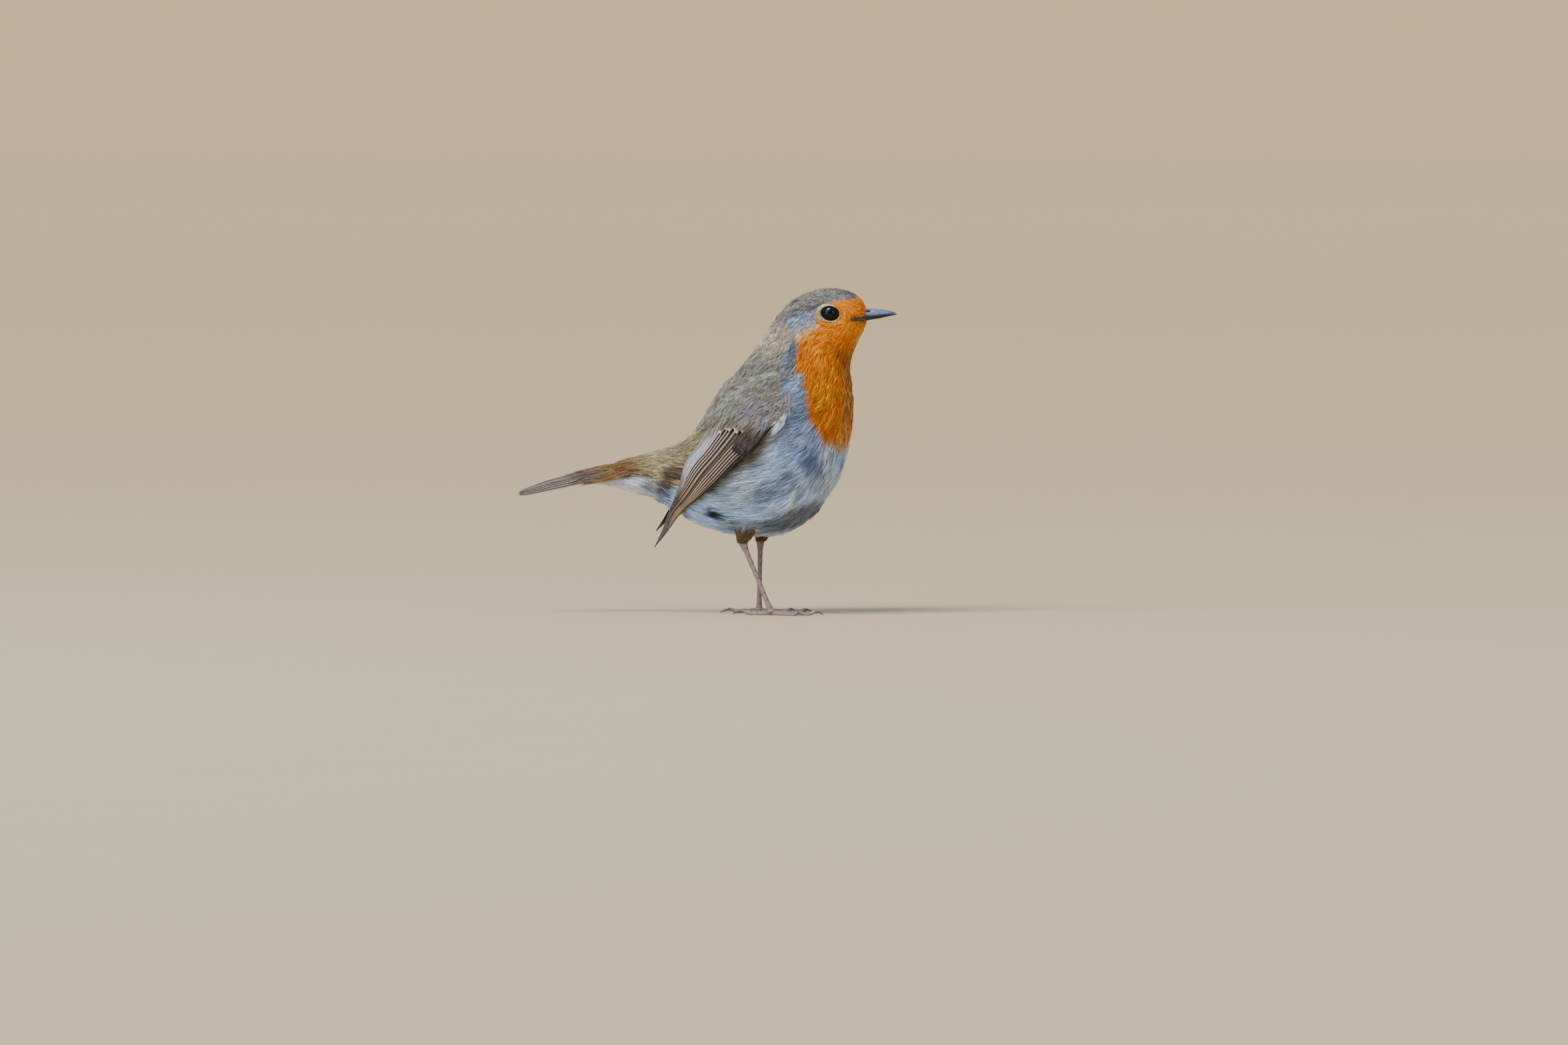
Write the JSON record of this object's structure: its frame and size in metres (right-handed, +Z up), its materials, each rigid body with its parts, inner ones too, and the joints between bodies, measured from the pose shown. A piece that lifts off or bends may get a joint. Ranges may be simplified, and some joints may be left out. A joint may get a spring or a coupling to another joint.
{
  "type": "european robin",
  "caption": "Life-size robin with an orange face and breast, standing on both feet with drooped wings and a level tail.",
  "frame": {"origin": "on the floor, halfway between the bill's tip and the tail's tip, in the middle plane", "axes": "+X towards the bill, +Y to the bird's left, +Z up"},
  "size_m": [0.1234, 0.046, 0.1064],
  "materials": {
    "face_plumage": "soft matt feathers, rusty orange",
    "body_plumage": "soft matt feathers, off-white belly and grey flanks",
    "back_plumage": "soft matt feathers, grey olive brown",
    "undertail_plumage": "soft matt feathers, white under the tail and olive brown above",
    "wing_plumage": "matt flight feathers, dark brown with olive buff edges",
    "tail_plumage": "matt tail feathers, warm brown with paler edges",
    "horn": "satin horn, blackish brown",
    "claw": "satin horn, dark brown",
    "leg_skin": "scaly skin, pinkish brown",
    "eye": "wet gloss, almost black"
  },
  "bodies": {
    "root": {"bill_upper": "horn", "bill_lower": "horn", "eye_right": "eye", "eye_left": "eye", "head": "face_plumage", "neck": "face_plumage", "trunk": "body_plumage", "rump": "undertail_plumage", "tail_middle": "tail_plumage", "tail_outer_right": "tail_plumage", "tail_outer_left": "tail_plumage", "wing_coverts_right": "back_plumage", "wing_secondaries_right": "wing_plumage", "wing_primaries_right": "wing_plumage", "thigh_right": "back_plumage", "tarsus_right": "leg_skin", "toe_middle_right": "leg_skin", "claw_middle_right": "claw", "toe_inner_right": "leg_skin", "claw_inner_right": "claw", "toe_outer_right": "leg_skin", "claw_outer_right": "claw", "toe_hind_right": "leg_skin", "claw_hind_right": "claw", "wing_coverts_left": "back_plumage", "wing_secondaries_left": "wing_plumage", "wing_primaries_left": "wing_plumage", "thigh_left": "back_plumage", "tarsus_left": "leg_skin", "toe_middle_left": "leg_skin", "claw_middle_left": "claw", "toe_inner_left": "leg_skin", "claw_inner_left": "claw", "toe_outer_left": "leg_skin", "claw_outer_left": "claw", "toe_hind_left": "leg_skin", "claw_hind_left": "claw"}
  },
  "joints": []
}
